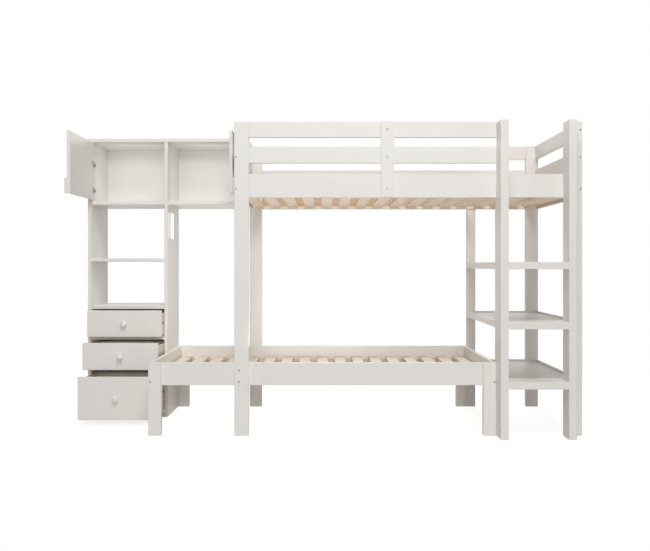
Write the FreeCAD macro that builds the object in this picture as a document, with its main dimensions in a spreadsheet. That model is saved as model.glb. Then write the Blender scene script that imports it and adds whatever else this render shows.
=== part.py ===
import FreeCAD, Part
import os
import re

# Bunk bed with a shifted lower bed, a cupboard and drawer column at its left end, and a ladder with
# deep shelf steps at its right end. Millimetres, +X to the right, +Y to the back, +Z up.
# The origin is on the floor, under the middle of the whole footprint.
# At rest the two cupboard doors stand open at a right angle and the three drawers are pulled out in steps.

SIZES = {
    # Upper bed
    "bed_width": 1000,
    "bed_height": 1860,
    "post_width": 86,
    "post_depth": 38,
    "rail_thick": 22,
    "guard_height": 94,
    "front_guard_gap": 58,
    "back_guard_gap": 76,
    "guard_rise": 310,
    "upper_rail_height": 139,
    "stile_width": 75,
    "stile_depth": 18,
    "stile_from_left": 905,
    # Slats of both beds
    "slat_width": 70,
    "slat_thick": 18,
    "slat_pitch": 120,
    "cleat_width": 25,
    "cleat_height": 18,
    # Lower bed
    "lower_length": 2061,
    "leg_width": 76,
    "lower_rail_base": 297,
    "lower_rail_height": 136,
    "lower_slat_drop": 70,
    # Ladder and shelf steps
    "inner_post_width": 61,
    "ladder_width": 46,
    "ladder_depth": 120,
    "ladder_height": 1852,
    "ladder_opening": 348,
    "step_opening": 362,
    "step_first_top": 335,
    "step_pitch": 347,
    "step_height": 42,
    "shelf_side_thick": 20,
    "shelf_panel_thick": 18,
    "shelf_recess": 10,
    # Cupboard and drawer column
    "panel_thick": 22,
    "cab_gap": 2,
    "bay_width": 486,
    "cab_depth": 400,
    "cab_front": 576,
    "cab_height": 1852,
    "cupboard_height": 395,
    "back_thick": 6,
    "mid_shelf_top": 1056,
    "lower_drawer_base": 37,
    "lower_drawer_height": 271,
    "drawer_height": 173,
    "drawer_gap": 4,
    "drawer_wall": 15,
    "drawer_floor": 6,
    "drawer_depth": 360,
    "drawer_top_room": 26,
    "runner_thick": 10,
    "runner_height": 16,
    "runner_side_gap": 3.5,
    "runner_clear": 0.5,
    "pull_top": 95,
    "pull_middle": 195,
    "pull_bottom": 295,
    "knob_radius": 21.5,
    "knob_height": 28,
    "knob_neck_radius": 8,
    # Doors
    "door_thick": 20,
    "door_gap": 5,
    "door_base_gap": 12,
    "door_side_gap": 1,
    "pivot_inset": 1.3,
    "pivot_back": 2,
    "pull_block_height": 95,
    "pull_block_depth": 15,
    "pull_block_width": 22,
    "hinge_cup_radius": 17.5,
    "hinge_cup_depth": 11,
    "hinge_cup_inset": 24,
    "hinge_arm_length": 62,
    "hinge_arm_width": 14,
    "hinge_arm_height": 14,
    "hinge_from_end": 63,
    "hinge_from_top": 142,
    # Light box on the middle panel
    "light_depth": 25,
    "light_width": 69,
    "light_height": 168,
    "light_from_front": 13,
    "light_drop": 57,
    "light_face": 4,
    # Bolts and edges
    "bolt_head_radius": 6,
    "bolt_head_height": 2.5,
    "bolt_radius": 3,
    "bolt_length": 58,
    "stile_bolt_length": 34,
    "rail_bolt_rise": 53,
    "cut_over": 1,
    "edge_round": 2.5,
    "thin_round": 1.5,
}

# Places worked out from the sizes, as formulas
PLACES = {
    "cab_width": "3 * panel_thick + 2 * bay_width",
    "upper_length": "lower_length + inner_post_width + step_opening + post_width - low_offset",
    "low_offset": "(bay_width + panel_thick + cab_gap)",
    "total_length": "cab_width + cab_gap + upper_length",
    "cab_x": "-total_length / 2",
    "bed_x": "cab_x + cab_width + cab_gap",
    "bed_end": "bed_x + upper_length",
    "ladder_y": "-(ladder_depth + bed_width) / 2",
    "front_y": "ladder_y + ladder_depth",
    "back_y": "front_y + bed_width",
    "back_post_y": "back_y - post_depth",
    "between_posts": "bed_width - 2 * post_depth",
    "post_inner": "bed_x + post_width",
    "right_post_x": "bed_end - post_width",
    "mid_panel_x": "cab_x + panel_thick + bay_width",
    "right_bay_x": "mid_panel_x + panel_thick",
    "right_panel_x": "right_bay_x + bay_width",
    "low_x": "right_bay_x",
    "low_end": "low_x + lower_length",
    "low_rail_y": "front_y + post_depth - rail_thick",
    "low_top": "lower_rail_base + lower_rail_height",
    "low_slat_z": "low_top - lower_slat_drop - slat_thick",
    "front_mid_top": "bed_height - guard_height - front_guard_gap",
    "back_mid_top": "bed_height - guard_height - back_guard_gap",
    "upper_rail_base": "bed_height - guard_rise - upper_rail_height",
    "up_slat_z": "upper_rail_base + cleat_height",
    "inner_x": "low_end",
    "inner_end": "inner_x + inner_post_width",
    "ladder_end": "inner_x + ladder_width",
    "right_stile_x": "ladder_end + ladder_opening",
    "cab_y": "front_y + cab_front",
    "cab_end": "cab_y + cab_depth",
    "cab_inner_z": "cab_height - panel_thick",
    "cab_floor_top": "cab_inner_z - cupboard_height",
    "light_base": "cab_floor_top - panel_thick - light_drop - light_height",
    "door_height": "cab_inner_z - door_gap - door_z",
    "door_width": "bay_width - 2 * door_side_gap",
    "door_z": "(cab_floor_top + door_base_gap)",
    "pivot_y": "cab_y + pivot_back",
    "left_pivot_x": "cab_x + panel_thick - pivot_inset",
    "right_pivot_x": "right_panel_x + pivot_inset",
    "door_near": "pivot_y - pivot_inset - door_side_gap",
    "left_door_x": "left_pivot_x - pivot_back",
    "right_door_x": "right_pivot_x + pivot_back - door_thick",
    "box_width": "bay_width - 2 * runner_side_gap",
}


class Sheet:
    """The document, its table of sizes and the pieces made so far."""

    def __init__(self, title):
        self.doc = FreeCAD.newDocument(title)
        self.table = self.doc.addObject("Spreadsheet::Sheet", "Sizes")
        self.nodes = {}
        for row, (alias, value) in enumerate(SIZES.items(), start=1):
            self.table.set(f"A{row}", alias)
            self.table.set(f"B{row}", str(value))
            self.table.setAlias(f"B{row}", alias)
        self.doc.recompute()


sheet = Sheet("bunk_bed")
doc = sheet.doc
values = doc.addObject("App::VarSet", "Values")


def formula(text):
    """Writes the places out in full and points every size at its cell."""
    text = str(text)
    word = re.compile(r"\b[a-z][a-z_]*[a-z]\b")
    while any(name in PLACES for name in word.findall(text)):
        text = word.sub(lambda m: f"({PLACES[m.group()]})" if m.group() in PLACES else m.group(), text)
    return word.sub(lambda m: f"Sizes.{m.group()}" if m.group() in SIZES else m.group(), text)


def bind(item, settings):
    for prop, text in settings.items():
        item.setExpression(prop, formula(text))


def worked_out(name, text):
    """The number that a formula gives, held as a named value of the document."""
    values.addProperty("App::PropertyFloat", name)
    bind(values, {name: text})
    doc.recompute()
    return getattr(values, name)


def place(item, x, y, z):
    bind(item, {"Placement.Base.x": x, "Placement.Base.y": y, "Placement.Base.z": z})


def new_body(name):
    body = doc.addObject("PartDesign::Body", name)
    body.Label = name
    return body


def add_box(body, kind, size, corner):
    """A box of the body: size and lowest corner as formulas, in the body's own frame."""
    box = body.newObject(f"PartDesign::{kind}Box", f"{body.Name}_{kind.lower()}")
    bind(box, {"Length": size[0], "Width": size[1], "Height": size[2]})
    place(box, *corner)
    doc.recompute()
    return box


def ease(body, radius):
    """Rounds every edge of the body's last feature."""
    base = body.Tip
    fillet = body.newObject("PartDesign::Fillet", f"{body.Name}_ease")
    fillet.Base = (base, [f"Edge{i + 1}" for i in range(len(base.Shape.Edges))])
    bind(fillet, {"Radius": radius})
    doc.recompute()


def board(name, size, corner, cuts=(), radius="edge_round"):
    """A board with eased edges; each cut is a size and a corner from the board's own corner."""
    body = new_body(name)
    add_box(body, "Additive", size, (0, 0, 0))
    ease(body, radius)
    for cut_size, cut_corner in cuts:
        before = body.Shape.Volume
        add_box(body, "Subtractive", cut_size, cut_corner)
        if body.Shape.Volume >= before:
            raise ValueError(f"{name}: a cut removes nothing")
    place(body, *corner)
    return body


def keep(name, *pieces):
    """One node of one piece, or a group of separate pieces."""
    if len(pieces) == 1:
        sheet.nodes[name] = pieces[0]
        return
    group = doc.addObject("Part::Compound", f"{name}_group")
    group.Label = name
    group.Links = list(pieces)
    sheet.nodes[name] = group


def single(name, size, corner, cuts=(), radius="edge_round"):
    keep(name, board(name, size, corner, cuts, radius))


def group(name, parts, radius="edge_round"):
    keep(name, *[board(f"{name}_{number}", size, corner, (), radius)
                 for number, (size, corner) in enumerate(parts, start=1)])


def bolt(name, length, seat):
    """A round-headed bolt: its head lies on the seat point, its shank runs from there towards +Y."""
    body = new_body(name)
    shank = body.newObject("PartDesign::AdditiveCylinder", f"{name}_shank")
    bind(shank, {"Radius": "bolt_radius", "Height": length})
    head = body.newObject("PartDesign::AdditiveCylinder", f"{name}_head")
    bind(head, {"Radius": "bolt_head_radius", "Height": "bolt_head_height"})
    place(head, "0", "0", "-bolt_head_height")
    body.Placement.Rotation = FreeCAD.Rotation(FreeCAD.Vector(1, 0, 0), -90)
    place(body, *seat)
    doc.recompute()
    return body


# Upper bed: four posts, with the left pair housed over the lower bed's long rails
post = ("post_width", "post_depth", "bed_height")
housing = ("post_width + 2 * cut_over", "rail_thick + cut_over", "lower_rail_height")
front_housing = (housing, ("-cut_over", "post_depth - rail_thick", "lower_rail_base"))
back_housing = (housing, ("-cut_over", "-cut_over", "lower_rail_base"))
single("post_front_left", post, ("bed_x", "front_y", "0"), [front_housing])
single("post_back_left", post, ("bed_x", "back_post_y", "0"), [back_housing])
single("post_front_right", post, ("right_post_x", "front_y", "0"))
single("post_back_right", post, ("right_post_x", "back_post_y", "0"))


def long_rail(name, height, end, y, base):
    single(name, (f"{end} - post_inner", "rail_thick", height), ("post_inner", y, base))


back_rail_y = "back_y - rail_thick"
long_rail("front_guard_top", "guard_height", "ladder_end", "front_y", "bed_height - guard_height")
long_rail("front_guard_middle", "guard_height", "ladder_end", "front_y", "front_mid_top - guard_height")
long_rail("front_side_rail", "upper_rail_height", "right_post_x", "front_y", "upper_rail_base")
long_rail("back_guard_top", "guard_height", "right_post_x", back_rail_y, "bed_height - guard_height")
long_rail("back_guard_middle", "guard_height", "right_post_x", back_rail_y, "back_mid_top - guard_height")
long_rail("back_side_rail", "upper_rail_height", "right_post_x", back_rail_y, "upper_rail_base")


def end_rails(name, x):
    heights = [
        ("guard_height", "bed_height - guard_height"),
        ("guard_height", "back_mid_top - guard_height"),
        ("upper_rail_height", "upper_rail_base"),
    ]
    group(name, [(("rail_thick", "between_posts", height), (x, "front_y + post_depth", base))
                 for height, base in heights])


end_rails("left_end_rails", "bed_x")
end_rails("right_end_rails", "bed_end - rail_thick")

stile_x = "bed_x + stile_from_left - stile_width / 2"
single("guard_stile", ("stile_width", "stile_depth", "bed_height - upper_rail_base"),
       (stile_x, "front_y - stile_depth", "upper_rail_base"))


def slats(name, start, length, z):
    """Slats across the bed, centred along its length, as many as the pitch allows."""
    room = worked_out(f"{name}_room", f"{length} - 2 * rail_thick - slat_width")
    count = int(room // sheet.table.get("slat_pitch")) + 1
    first = f"{start} + ({length} - {count - 1} * slat_pitch - slat_width) / 2"
    size = ("slat_width", "between_posts", "slat_thick")
    group(name, [(size, (f"{first} + {i} * slat_pitch", "front_y + post_depth", z)) for i in range(count)],
          "thin_round")


slats("upper_slats", "bed_x", "upper_length", "up_slat_z")
slats("lower_slats", "low_x", "lower_length", "low_slat_z")

upper_cleat = ("right_post_x - post_inner", "cleat_width", "cleat_height")
group("upper_slat_cleats", [
    (upper_cleat, ("post_inner", "front_y + rail_thick", "upper_rail_base")),
    (upper_cleat, ("post_inner", "back_y - rail_thick - cleat_width", "upper_rail_base")),
], "thin_round")

# Lower bed: four legs, two long rails housed behind the left posts, two end rails, slats on cleats
leg = ("leg_width", "post_depth", "low_top")
right_leg_x = "low_end - leg_width"
group("lower_front_legs", [(leg, ("low_x", "front_y", "0")), (leg, (right_leg_x, "front_y", "0"))])
group("lower_back_legs", [(leg, ("low_x", "back_post_y", "0")), (leg, (right_leg_x, "back_post_y", "0"))])

low_rail = ("lower_length - 2 * leg_width", "rail_thick", "lower_rail_height")
single("lower_front_rail", low_rail, ("low_x + leg_width", "low_rail_y", "lower_rail_base"))
single("lower_back_rail", low_rail, ("low_x + leg_width", "back_post_y", "lower_rail_base"))

low_end_rail = ("rail_thick", "between_posts", "lower_rail_height")
group("lower_end_rails", [
    (low_end_rail, ("low_x", "front_y + post_depth", "lower_rail_base")),
    (low_end_rail, ("low_end - rail_thick", "front_y + post_depth", "lower_rail_base")),
])

low_cleat = ("lower_length - 2 * rail_thick", "cleat_width", "cleat_height")
low_cleat_z = "low_slat_z - cleat_height"
group("lower_slat_cleats", [
    (low_cleat, ("low_x + rail_thick", "front_y + post_depth", low_cleat_z)),
    (low_cleat, ("low_x + rail_thick", "back_post_y - cleat_width", low_cleat_z)),
], "thin_round")

# Ladder and shelf steps between the inner posts and the right posts
inner_post = ("inner_post_width", "post_depth", "upper_rail_base")
group("inner_posts", [
    (inner_post, ("inner_x", "front_y", "0")),
    (inner_post, ("inner_x", "back_post_y", "0")),
])
ladder_side = ("ladder_width", "ladder_depth", "ladder_height")
single("ladder_left_side", ladder_side, ("inner_x", "ladder_y", "0"))
single("ladder_right_side", ladder_side, ("right_stile_x", "ladder_y", "0"))

shelf_frames = []
shelf_panels = []
for step in range(3):
    top = f"step_first_top + {step} * step_pitch"
    base = f"{top} - step_height"
    panel_z = f"{top} - shelf_recess - shelf_panel_thick"
    single(f"ladder_step_{step + 1}", ("ladder_opening", "ladder_depth", "step_height"),
           ("ladder_end", "ladder_y", base))
    inside = "bed_end - inner_x - 2 * shelf_side_thick"
    shelf_panels.append(((inside, "between_posts", "shelf_panel_thick"),
                         ("inner_x + shelf_side_thick", "front_y + post_depth", panel_z)))
    side = ("shelf_side_thick", "between_posts", "step_height")
    cross = ("right_post_x - inner_end", "post_depth", "step_height")
    shelf_frames += [
        (side, ("inner_x", "front_y + post_depth", base)),
        (side, ("bed_end - shelf_side_thick", "front_y + post_depth", base)),
        (cross, ("inner_end", "front_y", base)),
        (cross, ("inner_end", "back_post_y", base)),
    ]
group("shelf_frames", shelf_frames)
group("shelf_panels", shelf_panels)

# Cupboard and drawer column
upright = ("panel_thick", "cab_depth", "cab_inner_z")
single("cabinet_left_panel", upright, ("cab_x", "cab_y", "0"))
single("cabinet_middle_panel", upright, ("mid_panel_x", "cab_y", "0"))
right_panel_base = "cab_floor_top - panel_thick"
single("cabinet_right_panel", ("panel_thick", "cab_depth", f"cab_inner_z - ({right_panel_base})"),
       ("right_panel_x", "cab_y", right_panel_base))
single("cabinet_top", ("cab_width", "cab_depth", "panel_thick"), ("cab_x", "cab_y", "cab_inner_z"))
shelf = ("bay_width", "cab_depth", "panel_thick")
left_bay_x = "cab_x + panel_thick"
cupboard_floor = ("bay_width", "cab_depth - back_thick", "panel_thick")
group("cupboard_floors", [
    (cupboard_floor, (left_bay_x, "cab_y", right_panel_base)),
    (cupboard_floor, ("right_bay_x", "cab_y", right_panel_base)),
])
back_board = ("bay_width", "back_thick", f"cab_inner_z - ({right_panel_base})")
single("open_shelf", shelf, (left_bay_x, "cab_y", "mid_shelf_top - panel_thick"))

# Drawers, lowest first: each has its front, knob and box, and runs on two strips on the panels
drawer_base = ["lower_drawer_base"]
drawer_base.append(f"{drawer_base[0]} + lower_drawer_height + 2 * drawer_gap + panel_thick")
drawer_base.append(f"{drawer_base[1]} + drawer_height + 2 * drawer_gap + panel_thick")
drawer_rows = [
    ("bottom", "lower_drawer_height", "pull_bottom"),
    ("middle", "drawer_height", "pull_middle"),
    ("top", "drawer_height", "pull_top"),
]
drawer_shelf_z = f"{drawer_base[2]} + drawer_height + drawer_gap"
single("drawer_shelf", shelf, (left_bay_x, "cab_y", drawer_shelf_z))
divider = ("bay_width", "cab_depth - back_thick", "panel_thick")
group("drawer_dividers", [(divider, (left_bay_x, "cab_y", f"{base} - drawer_gap - panel_thick"))
                          for base in drawer_base[1:]])
single("cabinet_plinth", ("bay_width", "panel_thick", "lower_drawer_base - drawer_gap"),
       (left_bay_x, "cab_y", "0"))
drawer_back = ("bay_width", "back_thick", f"{drawer_shelf_z} - lower_drawer_base")
group("cupboard_backs", [
    (back_board, (left_bay_x, "cab_end - back_thick", right_panel_base)),
    (back_board, ("right_bay_x", "cab_end - back_thick", right_panel_base)),
    (drawer_back, (left_bay_x, "cab_end - back_thick", "lower_drawer_base")),
], "thin_round")

runners = []
for (row, height, pull), base in zip(drawer_rows, drawer_base):
    face_y = f"cab_y - {pull}"
    box_x = f"{left_bay_x} + runner_side_gap"
    box_y = f"{face_y} + panel_thick"
    box_z = f"{base} + drawer_gap"
    wall_height = f"{height} - drawer_top_room"
    run_z = f"{box_z} + ({wall_height}) / 2"
    single(f"drawer_{row}_front", ("door_width", "panel_thick", height),
           (f"{left_bay_x} + door_side_gap", face_y, base))
    groove_depth = "runner_thick - runner_side_gap + runner_clear"
    groove_size = (groove_depth, "drawer_depth + 2 * cut_over", "runner_height + 2 * runner_clear")
    groove_z = f"({wall_height}) / 2 - runner_clear"
    wall = ("drawer_wall", "drawer_depth", wall_height)
    cross = ("box_width - 2 * drawer_wall", "drawer_wall", wall_height)
    floor = ("box_width - 2 * drawer_wall", "drawer_depth - drawer_wall", "drawer_floor")
    box_name = f"drawer_{row}_box"
    keep(box_name,
         board(f"{box_name}_left", wall, (box_x, box_y, box_z),
               [(groove_size, ("0", "-cut_over", groove_z))], "thin_round"),
         board(f"{box_name}_right", wall, (f"{box_x} + box_width - drawer_wall", box_y, box_z),
               [(groove_size, (f"drawer_wall - ({groove_depth})", "-cut_over", groove_z))], "thin_round"),
         board(f"{box_name}_back", cross,
               (f"{box_x} + drawer_wall", f"{box_y} + drawer_depth - drawer_wall", box_z), (), "thin_round"),
         board(f"{box_name}_floor", floor, (f"{box_x} + drawer_wall", box_y, f"{box_z} + drawer_wall"),
               (), "thin_round"))
    runner = ("runner_thick", "drawer_depth - panel_thick", "runner_height")
    run_y = "cab_y + panel_thick + runner_clear"
    runners += [(runner, (left_bay_x, run_y, run_z)),
                (runner, ("mid_panel_x - runner_thick", run_y, run_z))]

    knob = new_body(f"drawer_{row}_knob")
    neck = knob.newObject("PartDesign::AdditiveCylinder", f"{row}_neck")
    bind(neck, {"Radius": "knob_neck_radius", "Height": "knob_height / 2"})
    head = knob.newObject("PartDesign::AdditiveEllipsoid", f"{row}_head")
    bind(head, {"Radius1": "knob_height / 3", "Radius2": "knob_radius", "Radius3": "knob_radius"})
    place(head, "0", "0", "knob_height * 2 / 3")
    knob.Placement.Rotation = FreeCAD.Rotation(FreeCAD.Vector(1, 0, 0), 90)
    place(knob, f"{left_bay_x} + bay_width / 2", face_y, f"{base} + ({height}) / 2")
    doc.recompute()
    keep(f"drawer_{row}_knob", knob)
group("drawer_runners", runners, "thin_round")

# Doors, open at a right angle to the cupboard, each with a block pull at its free edge
door = ("door_thick", "door_width", "door_height")
door_y = "door_near - door_width"
single("door_left", door, ("left_door_x", door_y, "door_z"))
single("door_right", door, ("right_door_x", door_y, "door_z"))
pull_block = ("pull_block_depth", "pull_block_width", "pull_block_height")
single("door_left_pull", pull_block, ("left_door_x - pull_block_depth", door_y, "door_z"))
single("door_right_pull", pull_block, ("right_door_x + door_thick", door_y, "door_z"))


hinge_heights = ("door_z + hinge_from_end", "door_z + door_height - hinge_from_top")


def hinge_cups(side, face_x, turn):
    """Two round hinge cups let into a door's inner face, flush with it."""
    cups = []
    for number, z in enumerate(hinge_heights):
        cup = new_body(f"hinge_cup_{side}_{number + 1}")
        disc = cup.newObject("PartDesign::AdditiveCylinder", f"disc_{side}_{number + 1}")
        bind(disc, {"Radius": "hinge_cup_radius", "Height": "hinge_cup_depth"})
        cup.Placement.Rotation = FreeCAD.Rotation(FreeCAD.Vector(0, 1, 0), turn)
        place(cup, face_x, "door_near - hinge_cup_inset", z)
        doc.recompute()
        cups.append(cup)
    keep(f"hinge_cups_{side}", *cups)


hinge_cups("left", "left_door_x + door_thick", -90)
hinge_cups("right", "right_door_x", 90)

arm = ("hinge_arm_width", "hinge_arm_length", "hinge_arm_height")
arm_y = "cab_y + door_thick + pivot_back"
group("hinge_arms", [(arm, (x, arm_y, f"{z} - hinge_arm_height / 2"))
                     for x in (left_bay_x, "right_panel_x - hinge_arm_width")
                     for z in hinge_heights], "thin_round")

# Slim light box on the side of the middle panel, over the head of the lower bed
light_y = "cab_y + light_from_front"
single("light_box", ("light_depth - light_face", "light_width", "light_height"),
       ("right_bay_x", light_y, "light_base"), (), "thin_round")
single("light_diffuser", ("light_face", "light_width", "light_height"),
       ("right_bay_x + light_depth - light_face", light_y, "light_base"), (), "thin_round")

# Bolts: heads on the front faces, shanks into the posts, the legs and the guard stile
bolt_levels = ("bed_height - guard_height / 2", "(front_mid_top + back_mid_top - guard_height) / 2",
               "upper_rail_base + rail_bolt_rise")
bolt_spots = []
bolt_spots += [("bed_x + rail_thick / 2", "front_y", z, "bolt_length") for z in bolt_levels[1:]]
bolt_spots += [("bed_end - rail_thick / 2", "front_y", z, "bolt_length") for z in bolt_levels]
bolt_spots += [(f"{stile_x} + stile_width / 2", "front_y - stile_depth", z, "stile_bolt_length")
               for z in bolt_levels]
low_levels = ("low_top - lower_rail_height / 3", "lower_rail_base + rail_thick")
bolt_spots += [("bed_x + post_width / 3", "front_y", z, "stile_bolt_length") for z in low_levels]
bolt_spots += [(x, "front_y", "lower_rail_base + rail_thick", "bolt_length")
               for x in ("low_x + rail_thick / 2", "low_end - rail_thick / 2")]
keep("frame_bolts", *[bolt(f"bolt_{number + 1}", length, (x, y, z))
                      for number, (x, y, z, length) in enumerate(bolt_spots)])

doc.recompute()

for item in doc.Objects:
    if "Invalid" in item.State or "Error" in item.State:
        raise RuntimeError(f"{item.Name} failed: {item.State}")
for name, item in sheet.nodes.items():
    if item.Shape.isNull() or not item.Shape.isValid():
        raise RuntimeError(f"{name} has no valid shape")

os.makedirs("parts", exist_ok=True)
for name, item in sheet.nodes.items():
    item.Shape.exportStep(f"parts/{name}.step")
print(len(sheet.nodes), "nodes,", sum(len(item.Shape.Solids) for item in sheet.nodes.values()), "solids")
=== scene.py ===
import math

import bmesh
import bpy
import numpy as np
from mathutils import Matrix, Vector


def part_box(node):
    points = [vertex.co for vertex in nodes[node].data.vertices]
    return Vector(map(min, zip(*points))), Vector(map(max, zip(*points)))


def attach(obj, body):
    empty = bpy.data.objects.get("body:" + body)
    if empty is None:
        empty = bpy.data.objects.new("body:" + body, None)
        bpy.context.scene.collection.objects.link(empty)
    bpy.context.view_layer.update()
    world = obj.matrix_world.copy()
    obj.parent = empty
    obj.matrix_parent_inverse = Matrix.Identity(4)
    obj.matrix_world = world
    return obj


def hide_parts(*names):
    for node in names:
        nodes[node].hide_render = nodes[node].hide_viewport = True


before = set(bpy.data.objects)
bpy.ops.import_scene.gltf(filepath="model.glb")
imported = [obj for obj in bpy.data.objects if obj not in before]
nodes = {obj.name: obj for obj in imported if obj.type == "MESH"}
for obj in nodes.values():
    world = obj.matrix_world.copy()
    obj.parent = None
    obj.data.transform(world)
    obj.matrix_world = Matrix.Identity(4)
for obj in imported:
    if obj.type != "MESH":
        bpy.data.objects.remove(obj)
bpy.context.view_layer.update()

# Looks of a white bunk bed with a cupboard column and a ladder of shelf steps.
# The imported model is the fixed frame. Metres, +X to the ladder end, +Y to the back, +Z up.

# The photograph's frame and what it shows of the camera
PHOTO_WIDTH = 650
PHOTO_HEIGHT = 551
VANISH_X = 325.0
VANISH_Y = 265.0
CAMERA_DISTANCE = 4.625
METRES_PER_PIXEL = 0.005917
FLOOR_PIXEL_Y = 435.95
FRONT_POST_PIXEL_X = 234.2
SENSOR_WIDTH = 36.0

# Colours, linear
PAINT_LIGHT = (0.91, 0.893, 0.862)
PAINT_SHADE = (0.885, 0.866, 0.832)
PINE_PALE = (0.95, 0.84, 0.70)
PINE_DEEP = (0.84, 0.66, 0.48)
PINE_KNOT = (0.36, 0.21, 0.12)
# Dark brown painted as shade on the inner faces over the upper slats
WELL_SHADE_BROWN = (0.52, 0.36, 0.235)
STEEL_GREY = (0.33, 0.32, 0.31)
BOLT_GREY = (0.40, 0.39, 0.37)
KNOB_WHITE = (0.95, 0.945, 0.935)
PLY_LIGHT = (0.93, 0.865, 0.775)
PLY_SHADE = (0.88, 0.80, 0.70)
SHELL_WHITE = (0.86, 0.85, 0.83)
DIFFUSER_WHITE = (0.93, 0.93, 0.92)
FLOOR_WHITE = (0.60, 0.585, 0.565)
WORLD_WARMTH = (1.0, 0.97, 0.94)

# How far over the slats the inner faces carry painted shade, and how far round an edge a face reaches
WELL_SHADE_HEIGHT = 0.080
FACE_REACH = 0.0012

# Slat rows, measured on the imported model
SLAT_PITCH = 0.120
SLAT_WIDTH = 0.070

# Edges sharper than this stay sharp on the turned and pressed pieces
SHARP_ANGLE = math.radians(38)

# Bolts with a hexagon socket; points of a node this near to each other are one bolt
BOLT_HEAD_RADIUS = 0.0060
BOLT_HEAD_HEIGHT = 0.0025
BOLT_RADIUS = 0.0030
SOCKET_RADIUS = 0.0034
BOLT_AROUND = 36
BOLT_REACH = 2.2 * BOLT_HEAD_RADIUS

# Screws that hold the slats: places across a slat, then the head's profile
SCREW_RADIUS = 0.0042
SCREW_FROM_END = 0.014
SCREW_SHARES = (0.28, 0.72)
SCREW_RADII = (SCREW_RADIUS * 0.5, SCREW_RADIUS, SCREW_RADIUS * 0.9, SCREW_RADIUS * 0.25)
SCREW_HEIGHTS = (-0.003, 0.0001, 0.0005, 0.0003)
SCREW_AROUND = 12

# Hinge cups: shares of the cup's radius, each with its height over the door's inner face
CUP_LIP = 0.0012
CUP_AROUND = 40
CUP_RINGS = (
    (0.90, -0.008),
    (1.12, -0.0002),
    (1.12, CUP_LIP),
    (0.98, CUP_LIP * 1.2),
    (0.90, CUP_LIP * 0.6),
    (0.85, -0.006),
    (0.30, -0.007),
)

# Hinge arms, their plates and the plates' screws; points this near to each other are one arm
ARM_STATIONS = 25
ARM_AROUND = 28
ARM_REACH = 0.09
PLATE_THICK = 0.0025
PLATE_HALF_HEIGHT = 0.009
PLATE_WING = 0.013
PLATE_SCREW_PLACE = 0.575
PLATE_SCREW_RISE = 0.0155
PLATE_SCREW_RADII = (0.003, 0.0036, 0.0030, 0.0008)
PLATE_SCREW_HEIGHTS = (-0.004, 0.0, 0.0009, 0.0012)
PLATE_SCREW_AROUND = 20

# Stage: painted glow of the diffuser, glow of the floor as the camera sees it, then each lamp's place, aim,
# size, power
DIFFUSER_PAINTED_GLOW = 0.8
FLOOR_GLOW = 0.78
FLOOR_FADE = 0.62
FLOOR_X = (-3.6, 3.6)
FLOOR_Y = (-2.4, 2.4)
WORLD_LIGHT = 0.25
BED_MIDDLE = (0.0, 0.0, 1.0)
LAMPS = (
    ("front_light", (1.2, -16.0, 5.0), BED_MIDDLE, 3.0, 430.0),
    ("low_light", (-0.6, -14.0, 0.6), BED_MIDDLE, 3.0, 100.0),
    ("right_light", (11.0, -8.0, 2.8), BED_MIDDLE, 4.0, 75.0),
    ("left_light", (-11.0, -6.0, 2.8), BED_MIDDLE, 4.0, 8.0),
    ("top_light", (0.2, -3.8, 5.6), BED_MIDDLE, 2.0, 141.0),
    ("back_light", (0.4, 6.5, 4.5), BED_MIDDLE, 3.0, 110.0),
    ("left_bay_light", (-1.285, 0.20, 1.66), (-1.285, 0.60, 1.59), 0.34, 0.20),
    ("right_bay_light", (-0.777, 0.20, 1.66), (-0.777, 0.60, 1.59), 0.34, 0.20),
    ("slat_light", (0.0, -0.1, 0.45), (0.0, 0.1, 1.43), 0.8, 3.4),
)

# Node links and groups


class Nodes:
    """A node tree with short ways to add nodes, set their inputs and link them."""

    def __init__(self, tree):
        self.tree = tree

    def add(self, kind, settings=None, **inputs):
        node = self.tree.nodes.new(kind)
        for name, value in (settings or {}).items():
            setattr(node, name, value)
        for name, value in inputs.items():
            self.feed(node, name.replace("_", " "), value)
        return node

    def feed(self, node, socket, value):
        target = node.inputs[int(socket)] if socket.isdigit() else node.inputs[socket]
        if isinstance(value, bpy.types.NodeSocket):
            self.tree.links.new(value, target)
        else:
            target.default_value = value

    def maths(self, operation, first, second=0.0):
        node = self.add("ShaderNodeMath", {"operation": operation})
        self.feed(node, "0", first)
        self.feed(node, "1", second)
        return node.outputs[0]

    def spread(self, value, low, high, to_low, to_high):
        node = self.add("ShaderNodeMapRange", Value=value)
        for socket, number in zip(("From Min", "From Max", "To Min", "To Max"), (low, high, to_low, to_high)):
            self.feed(node, socket, number)
        return node.outputs[0]

    def blend_colour(self, factor, first, second):
        node = self.add("ShaderNodeMix", {"data_type": "RGBA"})
        self.feed(node, "0", factor)
        for socket, colour in (("6", first), ("7", second)):
            self.feed(node, socket, colour if isinstance(colour, bpy.types.NodeSocket) else (*colour, 1))
        return node.outputs[2]

    def noise(self, vector, scale, detail=3.0, roughness=0.5):
        return self.add("ShaderNodeTexNoise", Vector=vector, Scale=scale, Detail=detail,
                        Roughness=roughness).outputs[0]


def new_group(name, inputs, outputs):
    """An empty shader group with named sockets; gives its tree, its input node and its output node."""
    tree = bpy.data.node_groups.new(name, "ShaderNodeTree")
    for socket, kind in inputs:
        tree.interface.new_socket(socket, in_out="INPUT", socket_type=kind)
    for socket, kind in outputs:
        tree.interface.new_socket(socket, in_out="OUTPUT", socket_type=kind)
    made = Nodes(tree)
    return made, made.add("NodeGroupInput"), made.add("NodeGroupOutput")


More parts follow.
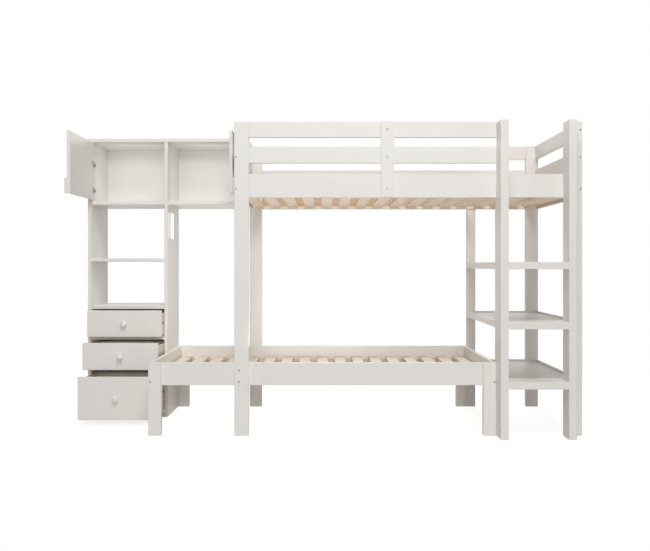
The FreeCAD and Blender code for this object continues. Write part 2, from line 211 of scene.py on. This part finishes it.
def sprayed_lacquer_group():
    """Broad clouding, brush lines along the board and a fine spray texture."""
    made, into, out = new_group(
        "sprayed_lacquer",
        [("Place", "NodeSocketVector"), ("Board", "NodeSocketVector")],
        [("Clouding", "NodeSocketFloat"), ("Height", "NodeSocketFloat"), ("Gloss Break", "NodeSocketFloat")],
    )
    cloud = made.noise(into.outputs["Place"], 2.3, 4.0)
    lines = made.noise(into.outputs["Board"], 55.0, 4.0, 0.6)
    spray = made.noise(into.outputs["Place"], 900.0, 2.0)
    made.feed(out, "Clouding", made.spread(made.maths("ADD", cloud, made.maths("MULTIPLY", lines, 0.4)),
                                           0.45, 0.95, 0.0, 1.0))
    made.feed(out, "Height", made.maths("ADD", made.maths("MULTIPLY", lines, 0.75),
                                        made.maths("MULTIPLY", spray, 0.25)))
    made.feed(out, "Gloss Break", made.maths("MULTIPLY", made.maths("ADD", cloud, lines), 0.5))
    return made.tree


def planed_pine_group():
    """Growth rings drawn out along the board, fine pores and a few knots."""
    made, into, out = new_group(
        "planed_pine",
        [("Board", "NodeSocketVector"), ("Plank", "NodeSocketFloat")],
        [("Ring", "NodeSocketFloat"), ("Knot", "NodeSocketFloat"), ("Height", "NodeSocketFloat")],
    )
    shift = made.add("ShaderNodeCombineXYZ", X=made.maths("MULTIPLY", into.outputs["Plank"], 7.3),
                     Y=made.maths("MULTIPLY", into.outputs["Plank"], 3.1)).outputs[0]
    board = made.add("ShaderNodeVectorMath", {"operation": "ADD"})
    made.feed(board, "0", into.outputs["Board"])
    made.feed(board, "1", shift)
    place = board.outputs[0]
    ring = made.add("ShaderNodeTexWave", {"wave_type": "BANDS", "bands_direction": "X"}, Vector=place,
                    Scale=26.0, Distortion=5.0, Detail=3.0).outputs[1]
    pores = made.noise(place, 160.0, 3.0, 0.65)
    cells = made.add("ShaderNodeTexVoronoi", Vector=place, Scale=5.5).outputs["Distance"]
    knot = made.spread(cells, 0.05, 0.13, 1.0, 0.0)
    made.feed(out, "Ring", made.maths("ADD", made.maths("MULTIPLY", ring, 0.6),
                                      made.maths("MULTIPLY", pores, 0.4)))
    made.feed(out, "Knot", knot)
    made.feed(out, "Height", made.maths("ADD", ring, made.maths("MULTIPLY", pores, 0.6)))
    return made.tree


def well_shade_group():
    """One on the inner faces of the upper bed over the slats, where shade is painted, nought elsewhere."""
    made, into, out = new_group(
        "well_shade",
        [("Place", "NodeSocketVector")],
        [("Inside", "NodeSocketFloat")],
    )
    x, y, z = made.add("ShaderNodeSeparateXYZ", Vector=into.outputs["Place"]).outputs
    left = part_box("left_end_rails")[1][0]
    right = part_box("right_end_rails")[0][0]
    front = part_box("front_side_rail")[1][1]
    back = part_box("back_side_rail")[0][1]
    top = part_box("upper_slats")[1][2] + WELL_SHADE_HEIGHT
    inside = made.maths("LESS_THAN", z, top)
    for low, value, high in ((left, x, right), (front, y, back)):
        inside = made.maths("MULTIPLY", inside, made.maths("GREATER_THAN", value, low - FACE_REACH))
        inside = made.maths("MULTIPLY", inside, made.maths("LESS_THAN", value, high + FACE_REACH))
    made.feed(out, "Inside", inside)
    return made.tree


LACQUER = sprayed_lacquer_group()
WELL_SHADE_MASK = well_shade_group()
PINE = planed_pine_group()


def new_material(name):
    material = bpy.data.materials.new(name)
    material.use_nodes = True
    made = Nodes(material.node_tree)
    shader = material.node_tree.nodes["Principled BSDF"]
    return material, made, shader


def board_place(made, along):
    """Object coordinates, and the same squeezed along the board's length so that marks draw out that way."""
    place = made.add("ShaderNodeTexCoord").outputs["Object"]
    squeeze = [1.0, 1.0, 1.0]
    squeeze["XYZ".index(along)] = 0.03
    board = made.add("ShaderNodeMapping", Vector=place, Scale=squeeze).outputs[0]
    return place, board


def lacquer(name, along, light=PAINT_LIGHT, shade=PAINT_SHADE, gloss=(0.36, 0.48), relief=0.06, painted_shade=False):
    """Satin lacquer whose faint brush lines run along one axis.

    With the flag set, the inner faces over the upper slats get painted shade: dark brown in place of the
    shade that falls there.
    """
    material, made, shader = new_material(name)
    place, board = board_place(made, along)
    film = made.add("ShaderNodeGroup", {"node_tree": LACQUER}, Place=place, Board=board)
    paint = made.blend_colour(film.outputs["Clouding"], light, shade)
    if painted_shade:
        # Painted shade: dark brown on the rail faces over the upper slats
        shade_mask = made.add("ShaderNodeGroup", {"node_tree": WELL_SHADE_MASK}, Place=place)
        wood = made.blend_colour(film.outputs["Gloss Break"], PINE_DEEP, WELL_SHADE_BROWN)
        paint = made.blend_colour(shade_mask.outputs["Inside"], paint, wood)
    made.feed(shader, "Base Color", paint)
    made.feed(shader, "Roughness", made.spread(film.outputs["Gloss Break"], 0.3, 0.7, *gloss))
    bump = made.add("ShaderNodeBump", Strength=relief, Distance=0.001, Height=film.outputs["Height"])
    made.feed(shader, "Normal", bump.outputs[0])
    return material


def pine(name, plank_start, plank_pitch):
    """Bare pine across the bed, each slat with a tone of its own."""
    material, made, shader = new_material(name)
    place, board = board_place(made, "Y")
    across = made.add("ShaderNodeSeparateXYZ", Vector=place).outputs[0]
    from_start = made.maths("SUBTRACT", across, plank_start)
    number = made.maths("FLOOR", made.maths("DIVIDE", from_start, plank_pitch))
    plank = made.add("ShaderNodeTexWhiteNoise", {"noise_dimensions": "1D"}, W=number).outputs[0]
    wood = made.add("ShaderNodeGroup", {"node_tree": PINE}, Board=board, Plank=plank)
    grain = made.blend_colour(made.spread(wood.outputs["Ring"], 0.25, 0.85, 0.0, 0.55), PINE_PALE, PINE_DEEP)
    toned = made.blend_colour(made.maths("MULTIPLY", plank, 0.28), grain, PINE_DEEP)
    made.feed(shader, "Base Color",
              made.blend_colour(made.maths("MULTIPLY", wood.outputs["Knot"], 0.6), toned, PINE_KNOT))
    made.feed(shader, "Roughness", made.spread(wood.outputs["Ring"], 0.2, 0.9, 0.62, 0.5))
    bump = made.add("ShaderNodeBump", Strength=0.15, Distance=0.001, Height=wood.outputs["Height"])
    made.feed(shader, "Normal", bump.outputs[0])
    return material


def metal(name, colour, gloss):
    """Plated steel with a fine uneven gloss."""
    material, made, shader = new_material(name)
    place = made.add("ShaderNodeTexCoord").outputs["Object"]
    cloud = made.noise(place, 260.0, 3.0)
    darker = tuple(part * 0.7 for part in colour)
    made.feed(shader, "Base Color", made.blend_colour(cloud, darker, colour))
    made.feed(shader, "Metallic", 0.9)
    made.feed(shader, "Roughness", made.spread(cloud, 0.3, 0.7, *gloss))
    bump = made.add("ShaderNodeBump", Strength=0.05, Distance=0.0005, Height=cloud)
    made.feed(shader, "Normal", bump.outputs[0])
    return material


def opal_painted_glow(name):
    """Opal plastic with a faint painted glow that keeps it bright white."""
    material, made, shader = new_material(name)
    place = made.add("ShaderNodeTexCoord").outputs["Object"]
    frost = made.noise(place, 500.0, 2.0)
    made.feed(shader, "Base Color", made.blend_colour(frost, DIFFUSER_WHITE, SHELL_WHITE))
    # Painted glow: emission that makes the diffuser read bright white
    made.feed(shader, "Emission Color", (*DIFFUSER_WHITE, 1))
    made.feed(shader, "Emission Strength", DIFFUSER_PAINTED_GLOW)
    made.feed(shader, "Roughness", made.spread(frost, 0.3, 0.7, 0.4, 0.5))
    return material


def slat_starts(node):
    """The left edge of each slat of a row, from the row's box and the pitch."""
    low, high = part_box(node)
    count = round((high[0] - low[0] - SLAT_WIDTH) / SLAT_PITCH) + 1
    return low[0] + SLAT_PITCH * np.arange(count)


def slat_pine(name, node):
    gap = SLAT_PITCH - SLAT_WIDTH
    return pine(name, slat_starts(node)[0] - gap / 2, SLAT_PITCH)


finishes = {axis: lacquer(f"white_lacquer_{axis.lower()}", axis) for axis in "XYZ"}
knob_gloss = lacquer("knob_gloss", "Y", KNOB_WHITE, PAINT_LIGHT, (0.18, 0.26), 0.03)
drawer_ply = lacquer("drawer_ply", "Y", PLY_LIGHT, PLY_SHADE, (0.5, 0.62), 0.08)
shell_plastic = lacquer("shell_plastic", "Z", SHELL_WHITE, PAINT_SHADE, (0.4, 0.5), 0.04)
upper_pine = slat_pine("upper_pine", "upper_slats")
lower_pine = slat_pine("lower_pine", "lower_slats")
hinge_steel = metal("hinge_steel", STEEL_GREY, (0.25, 0.4))
bolt_steel = metal("bolt_steel", BOLT_GREY, (0.35, 0.5))
painted_glow_opal_white = opal_painted_glow("painted_glow_opal_white")

# Lacquer with painted shade over the upper slats, for the rails round the upper bed
painted_shade_lacquer_x = lacquer("painted_shade_lacquer_x", "X", painted_shade=True)
painted_shade_lacquer_y = lacquer("painted_shade_lacquer_y", "Y", painted_shade=True)

special_finish = {
    "front_side_rail": painted_shade_lacquer_x,
    "back_side_rail": painted_shade_lacquer_x,
    "left_end_rails": painted_shade_lacquer_y,
    "right_end_rails": painted_shade_lacquer_y,
    "upper_slats": upper_pine,
    "upper_slat_cleats": upper_pine,
    "lower_slats": lower_pine,
    "lower_slat_cleats": lower_pine,
    "drawer_top_box": drawer_ply,
    "drawer_middle_box": drawer_ply,
    "drawer_bottom_box": drawer_ply,
    "drawer_runners": lower_pine,
    "hinge_arms": hinge_steel,
    "light_box": shell_plastic,
    "light_diffuser": painted_glow_opal_white,
}


def longest_axis(node):
    low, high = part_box(node)
    return "XYZ"[int(np.argmax(np.subtract(high, low)))]


def board_axis(node):
    """The way the brush lines run: along the length of a single board, across the bed for the end rails."""
    if node in ("lower_end_rails", "shelf_frames", "shelf_panels"):
        return "Y"
    if "legs" in node or "posts" in node:
        return "Z"
    return longest_axis(node)


def set_finish(piece, material):
    piece.data.materials.clear()
    piece.data.materials.append(material)


for node, piece in nodes.items():
    set_finish(piece, special_finish.get(node) or finishes[board_axis(node)])

# Turned pieces: knobs, bolts, screws and hinge cups


def turned(radii, heights, seat, axis, around=48):
    """A profile of radii and heights spun about a line: seat is its foot, axis its direction.

    Point = seat + h axis + r (cos(a) side + sin(a) up), with a right round the axis.
    Gives points on a grid (profile x around) and its faces, with both ends closed by a fan.
    """
    axis = np.asarray(axis, float)
    side = np.cross(axis, (0.0, 0.0, 1.0) if abs(axis[2]) < 0.9 else (1.0, 0.0, 0.0))
    side /= np.linalg.norm(side)
    up = np.cross(axis, side)
    angle = np.linspace(0, 2 * math.pi, around, endpoint=False)
    ring = np.cos(angle)[:, None] * side + np.sin(angle)[:, None] * up
    radii = np.asarray(radii, float)
    if radii.ndim == 1:
        radii = np.repeat(radii[:, None], around, axis=1)
    spun = radii[:, :, None] * ring[None] + np.asarray(heights, float)[:, None, None] * axis
    ends = np.array([heights[0] * axis, heights[-1] * axis])
    points = np.concatenate([spun.reshape(-1, 3), ends]) + np.asarray(seat, float)
    return points, tube_faces(len(heights), around)


def tube_faces(rows, around):
    """Quads between neighbouring rings, and a fan at each end to the two points after the rows."""
    here = np.arange(around)
    after = (here + 1) % around
    start = (np.arange(rows - 1) * around)[:, None]
    quads = np.stack([start + here, start + after, start + around + after, start + around + here], axis=-1)
    foot, tip, last = rows * around, rows * around + 1, (rows - 1) * around
    fans = [(foot, b, a) for a, b in zip(here.tolist(), after.tolist())]
    fans += [(tip, last + a, last + b) for a, b in zip(here.tolist(), after.tolist())]
    return quads.reshape(-1, 4).tolist() + fans


def mesh_piece(name, parts, material, body):
    """One object from a list of (points, faces), normals outwards, riding on a body."""
    points, faces, start = [], [], 0
    for part_points, part_faces in parts:
        points.append(part_points)
        faces += [tuple(index + start for index in face) for face in part_faces]
        start += len(part_points)
    mesh = bpy.data.meshes.new(name)
    mesh.from_pydata(np.concatenate(points).tolist(), [], faces)
    mesh.validate()
    piece = bpy.data.objects.new(name, mesh)
    bpy.context.collection.objects.link(piece)
    outwards(mesh)
    mesh.shade_smooth()
    mesh.set_sharp_from_angle(angle=SHARP_ANGLE)
    set_finish(piece, material)
    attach(piece, body)
    return piece


def outwards(mesh):
    """Turns every face outwards."""
    work = bmesh.new()
    work.from_mesh(mesh)
    bmesh.ops.recalc_face_normals(work, faces=work.faces)
    work.to_mesh(mesh)
    work.free()


def centre(node):
    low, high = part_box(node)
    return (np.asarray(low) + np.asarray(high)) / 2


def knob_profile(radius, height):
    """Radii and heights from the face out: a foot that waists into a neck, then a ball.

    Neck, t from 0 to 1: r = R (0.50 - 0.13 sin(0.75 pi t)), h = 0.36 H t.
    Ball, a from -1.05 to pi/2: r = R cos(a)^0.85, h = H (0.66 + 0.34 sin(a)), with 0.31 for 0.34 where a < 0.
    """
    climb = np.linspace(0, 1, 14)
    neck_r = radius * (0.50 - 0.13 * np.sin(climb * math.pi * 0.75))
    neck_h = height * 0.36 * climb
    turn = np.linspace(-1.05, math.pi / 2, 30)
    ball_r = radius * np.maximum(np.cos(turn), 0.02) ** 0.85
    ball_h = height * np.where(turn < 0, 0.66 + 0.31 * np.sin(turn), 0.66 + 0.34 * np.sin(turn))
    return np.concatenate([neck_r, ball_r]), np.concatenate([neck_h, ball_h])


for row in ("top", "middle", "bottom"):
    low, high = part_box(f"drawer_{row}_knob")
    middle = centre(f"drawer_{row}_knob")
    seat = (middle[0], high[1], middle[2])
    radii, heights = knob_profile((high[0] - low[0]) / 2, high[1] - low[1])
    knob = mesh_piece(f"turned_knob_{row}", [turned(radii, heights, seat, (0, -1, 0))], knob_gloss,
                      f"{row}_drawer")
    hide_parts(f"drawer_{row}_knob")

# Bolts with a hexagon socket


def corners_of(node):
    """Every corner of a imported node, in the shared frame."""
    piece = nodes[node]
    flat = np.empty(len(piece.data.vertices) * 3)
    piece.data.vertices.foreach_get("co", flat)
    turn = np.array(piece.matrix_world)
    return flat.reshape(-1, 3) @ turn[:3, :3].T + turn[:3, 3]


def clusters(node, reach, axes):
    """The lowest and highest corner of each group of a node's points, nearer than reach along the axes."""
    left = corners_of(node)
    while len(left):
        near = np.all(np.abs(left - left[0])[:, axes] < reach, axis=1)
        yield left[near].min(axis=0), left[near].max(axis=0)
        left = left[~near]


def bolt_places(node):
    """The seat under each head and the length of its shank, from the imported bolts' own corners."""
    places = []
    for low, high in clusters(node, BOLT_REACH, [0, 2]):
        seat = (low + high) / 2
        seat[1] = low[1] + BOLT_HEAD_HEIGHT
        places.append((seat, high[1] - seat[1]))
    return places


def socket_bolt(seat, length):
    """A domed head with a six-sided socket.

    The socket's rings are a hexagon: r = R cos(pi/6) / cos((a mod pi/3) - pi/6).
    """
    angle = np.linspace(0, 2 * math.pi, BOLT_AROUND, endpoint=False)
    hexagon = SOCKET_RADIUS * math.cos(math.pi / 6) / np.cos((angle % (math.pi / 3)) - math.pi / 6)
    whole = np.ones(BOLT_AROUND)
    rings = [
        (BOLT_RADIUS * whole, -length),
        (BOLT_RADIUS * whole, 0.0),
        (BOLT_HEAD_RADIUS * whole, 0.0),
        (BOLT_HEAD_RADIUS * whole, BOLT_HEAD_HEIGHT * 0.55),
        (BOLT_HEAD_RADIUS * 0.93 * whole, BOLT_HEAD_HEIGHT * 0.9),
        (BOLT_HEAD_RADIUS * 0.82 * whole, BOLT_HEAD_HEIGHT),
        (hexagon, BOLT_HEAD_HEIGHT),
        (hexagon * 0.98, BOLT_HEAD_HEIGHT * 0.2),
    ]
    radii = np.array([ring for ring, _ in rings])
    heights = [height for _, height in rings]
    return turned(radii, heights, seat, (0, -1, 0), BOLT_AROUND)


bolts = mesh_piece("socket_bolts", [socket_bolt(*place) for place in bolt_places("frame_bolts")], bolt_steel,
                   "bed_frame")
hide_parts("frame_bolts")

# Screws that hold the slats


def slat_screws(name, node):
    """Two screws at each end of each slat, their heads half a millimetre proud."""
    low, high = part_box(node)
    parts = []
    for start in slat_starts(node):
        for share in SCREW_SHARES:
            for y in (low[1] + SCREW_FROM_END, high[1] - SCREW_FROM_END):
                seat = (start + SLAT_WIDTH * share, y, high[2])
                parts.append(turned(SCREW_RADII, SCREW_HEIGHTS, seat, (0, 0, 1), SCREW_AROUND))
    screws = mesh_piece(name, parts, hinge_steel, "bed_frame")


slat_screws("upper_slat_screws", "upper_slats")
slat_screws("lower_slat_screws", "lower_slats")

# Hinge cups: two round cups with a raised rim on each door's inner face


def hinge_cup_set(side, out):
    """Both cups of a door: the rim stands a hair proud of the inner face and the bowl sinks behind it."""
    low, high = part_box(f"hinge_cups_{side}")
    radius = (high[1] - low[1]) / 2
    face = high[0] if out > 0 else low[0]
    radii = [radius * share for share, _ in CUP_RINGS]
    heights = [height for _, height in CUP_RINGS]
    parts = []
    for z in (low[2] + radius, high[2] - radius):
        seat = (face, (low[1] + high[1]) / 2, z)
        parts.append(turned(radii, heights, seat, (out, 0, 0), CUP_AROUND))
    cups = mesh_piece(f"cup_hinge_{side}", parts, hinge_steel, f"{side}_door")
    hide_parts(f"hinge_cups_{side}")


hinge_cup_set("left", 1)
hinge_cup_set("right", -1)

# Hinge arms: a stepped pressed arm clipped over a winged plate that is screwed to the panel


def signed_power(value, power):
    """The power of a value's size, with the value's sign."""
    return np.sign(value) * np.abs(value) ** power


def closed_in(along, slope, start):
    """A share that climbs from start at both ends of a length to one."""
    return np.clip(np.minimum(along, 1 - along) * slope + start, 0, 1)


def wall_side(low, high, out):
    """Where a hinge piece lies on its panel."""
    return low[0] if out > 0 else high[0]


def hinge_arm(low, high, out):
    """A rounded section carried along Y, t from 0 to 1, with both ends closed in.

    Width, at most W: W (0.62 + 0.38 exp(-((t - 0.12) / 0.22)^2) + 0.16 sin(pi t)^2).
    Height: H (0.86 + 0.14 cos(2 pi t)). Section: cos(a)^0.35 and sin(a)^0.35, signs kept.
    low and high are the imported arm's corners, out the way in which it stands off the panel.
    """
    along = np.linspace(0, 1, ARM_STATIONS)
    wide, length, tall = high - low
    wall = wall_side(low, high, out)
    width = wide * (0.62 + 0.38 * np.exp(-((along - 0.12) / 0.22) ** 2) + 0.16 * np.sin(along * math.pi) ** 2)
    width = np.minimum(width, wide) * closed_in(along, 14, 0.5)
    height = tall * (0.86 + 0.14 * np.cos(along * 2 * math.pi)) * closed_in(along, 14, 0.6)
    angle = np.linspace(0, 2 * math.pi, ARM_AROUND, endpoint=False)
    side = signed_power(np.cos(angle), 0.35)
    rise = signed_power(np.sin(angle), 0.35)
    x = wall + out * width[:, None] * (0.5 + 0.5 * side)[None]
    z = (low[2] + high[2]) / 2 + height[:, None] / 2 * rise[None]
    y = np.repeat((low[1] + length * along)[:, None], ARM_AROUND, axis=1)
    return grid_tube(np.stack([x, y, z], axis=-1))


def hinge_plate(low, high, out):
    """A thin plate with two wings, t from 0 to 1 along Y, its edge eased and its ends closed in.

    Half height: PLATE_HALF_HEIGHT + PLATE_WING exp(-((t - 0.55) / 0.16)^4).
    """
    along = np.linspace(0, 1, ARM_STATIONS)
    length = high[1] - low[1]
    wall = wall_side(low, high, out)
    half = PLATE_HALF_HEIGHT + PLATE_WING * np.exp(-((along - 0.55) / 0.16) ** 4)
    half = half * closed_in(along, 16, 0.35)
    angle = np.linspace(0, 2 * math.pi, ARM_AROUND, endpoint=False)
    rise = signed_power(np.sin(angle), 0.5)
    side = signed_power(np.cos(angle), 0.3)
    z = (low[2] + high[2]) / 2 + half[:, None] * rise[None]
    x = wall + out * PLATE_THICK * (0.5 + 0.5 * side)[None] + 0 * z
    y = np.repeat((low[1] + length * (0.08 + 0.9 * along))[:, None], ARM_AROUND, axis=1)
    return grid_tube(np.stack([x, y, z], axis=-1))


def grid_tube(grid):
    """Faces of a closed tube over a grid of points (stations x around), with a fan at each end."""
    stations, around = grid.shape[:2]
    points = np.concatenate([grid.reshape(-1, 3), [grid[0].mean(axis=0), grid[-1].mean(axis=0)]])
    return points, tube_faces(stations, around)


arm_parts = []
bay_middle = centre("hinge_arms")[0]
for low, high in clusters("hinge_arms", ARM_REACH, [0, 1, 2]):
    out = 1 if low[0] < bay_middle else -1
    arm_parts += [hinge_arm(low, high, out), hinge_plate(low, high, out)]
    x = wall_side(low, high, out) + out * PLATE_THICK
    y = low[1] + (high[1] - low[1]) * PLATE_SCREW_PLACE
    for wing in (-1, 1):
        seat = (x, y, (low[2] + high[2]) / 2 + wing * PLATE_SCREW_RISE)
        screw = turned(PLATE_SCREW_RADII, PLATE_SCREW_HEIGHTS, seat, (out, 0, 0), PLATE_SCREW_AROUND)
        arm_parts.append(screw)
arms = mesh_piece("clip_hinge_arms", arm_parts, hinge_steel, "bed_frame")
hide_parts("hinge_arms")

# Floor, light and camera


def light_path_share(made):
    """One for camera, mirror and see-through rays, nought for the rays that light the object."""
    path = made.add("ShaderNodeLightPath")
    share = made.maths("MAXIMUM", path.outputs["Is Camera Ray"], path.outputs["Is Glossy Ray"])
    return made.maths("MAXIMUM", share, path.outputs["Is Transmission Ray"])


def studio_floor():
    """A pale floor that shows nearly white and keeps the object's soft shadow."""
    points = np.array([(x, y, 0.0) for y in FLOOR_Y for x in FLOOR_X])
    mesh = bpy.data.meshes.new("studio_floor")
    mesh.from_pydata(points.tolist(), [], [(0, 1, 3, 2)])
    floor = bpy.data.objects.new("studio_floor", mesh)
    bpy.context.collection.objects.link(floor)
    material, made, shader = new_material("studio_floor")
    made.feed(shader, "Base Color", (*FLOOR_WHITE, 1))
    made.feed(shader, "Roughness", 0.9)
    glow = made.maths("MULTIPLY", light_path_share(made), FLOOR_GLOW)
    made.feed(shader, "Emission Color", (1, 1, 1, 1))
    made.feed(shader, "Emission Strength", glow)
    reach = made.add("ShaderNodeMapping", Vector=made.add("ShaderNodeTexCoord").outputs["Object"],
                     Scale=(1 / FLOOR_X[1], 1 / FLOOR_Y[1], 1.0)).outputs[0]
    away = made.add("ShaderNodeVectorMath", {"operation": "LENGTH"})
    made.feed(away, "0", reach)
    made.feed(shader, "Alpha", made.spread(away.outputs["Value"], FLOOR_FADE, 1.0, 1.0, 0.0))
    set_finish(floor, material)


def studio_world():
    world = bpy.data.worlds.new("studio")
    world.use_nodes = True
    made = Nodes(world.node_tree)
    background = world.node_tree.nodes["Background"]
    seen = light_path_share(made)
    made.feed(background, "Color", made.blend_colour(seen, WORLD_WARMTH, (1, 1, 1)))
    made.feed(background, "Strength", made.spread(seen, 0, 1, WORLD_LIGHT, 1.0))
    bpy.context.scene.world = world


def soft_lamp(name, place, target, size, power):
    """A square lamp that the camera doesn't see."""
    data = bpy.data.lights.new(name, "AREA")
    data.size = size
    data.energy = power
    lamp = bpy.data.objects.new(name, data)
    lamp.visible_camera = False
    bpy.context.collection.objects.link(lamp)
    aim(lamp, place, target)


def aim(item, place, target):
    item.location = place
    item.rotation_mode = "QUATERNION"
    item.rotation_quaternion = (Vector(target) - Vector(place)).to_track_quat("-Z", "Y")


studio_floor()
studio_world()
for lamp in LAMPS:
    soft_lamp(*lamp)


def photo_camera():
    """A level camera square to the bed's front, shifted so that the photograph's vanishing point is met."""
    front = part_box("post_front_left")[0]
    data = bpy.data.cameras.new("photo_camera")
    data.sensor_fit = "HORIZONTAL"
    data.sensor_width = SENSOR_WIDTH
    data.lens = SENSOR_WIDTH * CAMERA_DISTANCE / METRES_PER_PIXEL / PHOTO_WIDTH
    data.shift_y = (VANISH_Y - PHOTO_HEIGHT / 2) / PHOTO_WIDTH
    data.clip_end = 100.0
    camera = bpy.data.objects.new("photo_camera", data)
    bpy.context.collection.objects.link(camera)
    x = front[0] + (VANISH_X - FRONT_POST_PIXEL_X) * METRES_PER_PIXEL
    z = (FLOOR_PIXEL_Y - VANISH_Y) * METRES_PER_PIXEL
    place = (x, front[1] - CAMERA_DISTANCE, z)
    aim(camera, place, (x, front[1], z))
    bpy.context.scene.camera = camera


photo_camera()
bpy.context.scene.view_settings.view_transform = "Standard"
